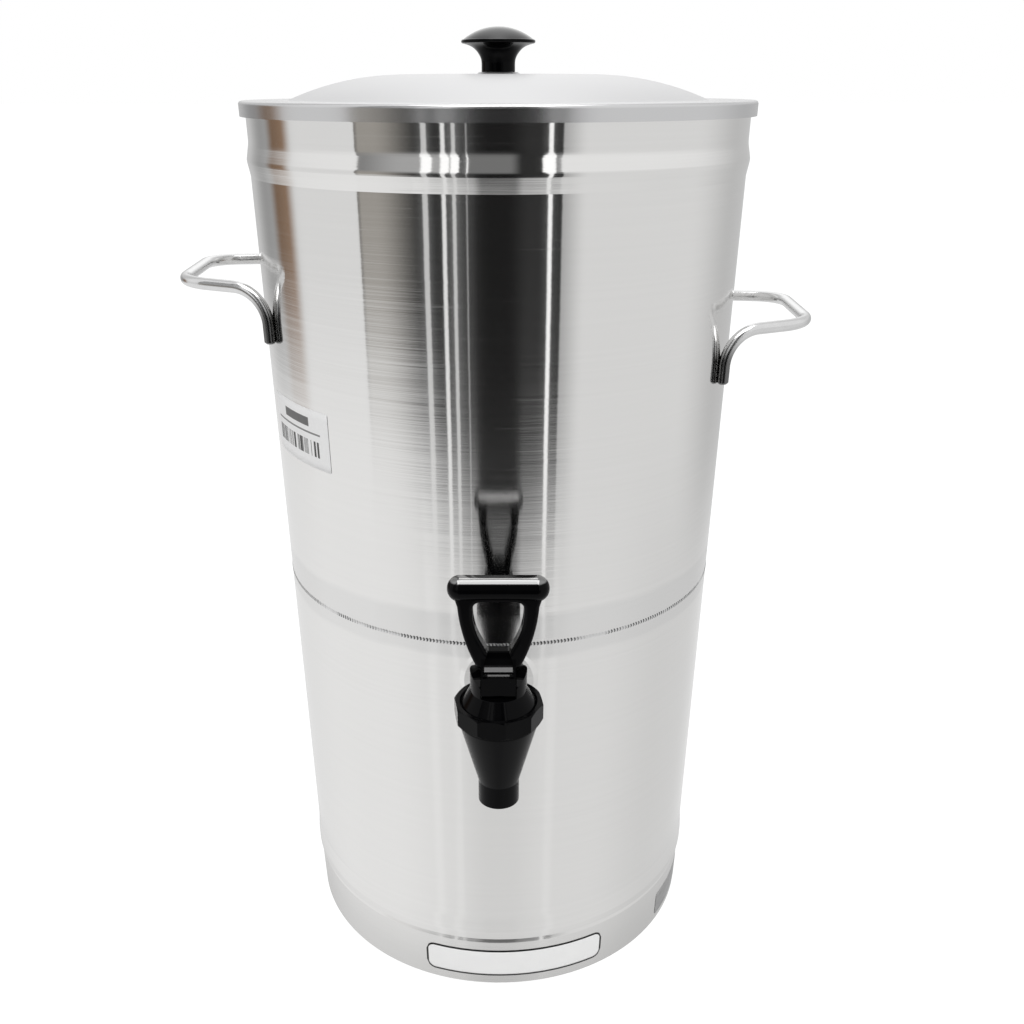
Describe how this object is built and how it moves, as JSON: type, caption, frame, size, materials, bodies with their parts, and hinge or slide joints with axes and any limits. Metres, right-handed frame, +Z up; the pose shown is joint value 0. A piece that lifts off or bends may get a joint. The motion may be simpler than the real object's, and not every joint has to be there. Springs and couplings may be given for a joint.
{
  "type": "coffee urn",
  "caption": "Unheated stainless steel drink urn: tall cylinder on a plain skirt, with a lift-off lid, wire handles and a spring-closed tap for hot coffee or tea.",
  "frame": {"origin": "on the vessel's axis, in the plane of the foot that it stands on", "axes": "+Z up along the vessel's axis; the tap faces -Y; +X is to the right of someone who faces the tap"},
  "size_m": [0.3138, 0.3081, 0.4909],
  "materials": {
    "sheet_steel": "bright satin stainless sheet",
    "lid_steel": "matt spun stainless",
    "wire": "polished stainless wire",
    "black_plastic": "glossy black moulding",
    "knob_plastic": "glossy black moulding",
    "silicone": "translucent white silicone",
    "fastener_steel": "plain stainless",
    "spring_steel": "drawn stainless wire"
  },
  "bodies": {
    "urn": {"vessel_wall": "sheet_steel", "vessel_floor": "sheet_steel", "lower_skirt": "sheet_steel", "base_ring": "sheet_steel", "handle_left": "wire", "handle_right": "wire", "tap_body": "black_plastic", "tap_bonnet": "black_plastic", "shank_seal_outer": "silicone", "shank_seal_inner": "silicone", "shank_washer": "fastener_steel", "shank_nut": "fastener_steel"},
    "lid": {"lid_shell": "lid_steel", "lid_knob": "knob_plastic", "knob_washer": "fastener_steel", "knob_screw": "fastener_steel"},
    "valve": {"valve_stem": "black_plastic", "seat_cup": "silicone", "stem_spring": "spring_steel"},
    "lever": {"tap_handle": "black_plastic", "handle_pin": "fastener_steel"}
  },
  "joints": [
    {"name": "lid_lift", "type": "slide", "parent": "urn", "child": "lid", "axis": [0, 0, 1], "range_m": [0, 0.09]},
    {"name": "stem_lift", "type": "slide", "parent": "urn", "child": "valve", "axis": [0, 0, 1], "range_m": [0, 0.0034], "deforming": ["stem_spring", "seat_cup"]},
    {"name": "handle_tilt", "type": "hinge", "parent": "valve", "child": "lever", "pos_m": [0, -0.167, 0.2407], "axis": [1, 0, 0], "range_deg": [0, 32], "stiffness_Nm_per_rad": 0.4, "springref_deg": -17.19}
  ],
  "couplings": [
    {"joint": "stem_lift", "follows": "handle_tilt", "m_per_rad": 0.006}
  ]
}
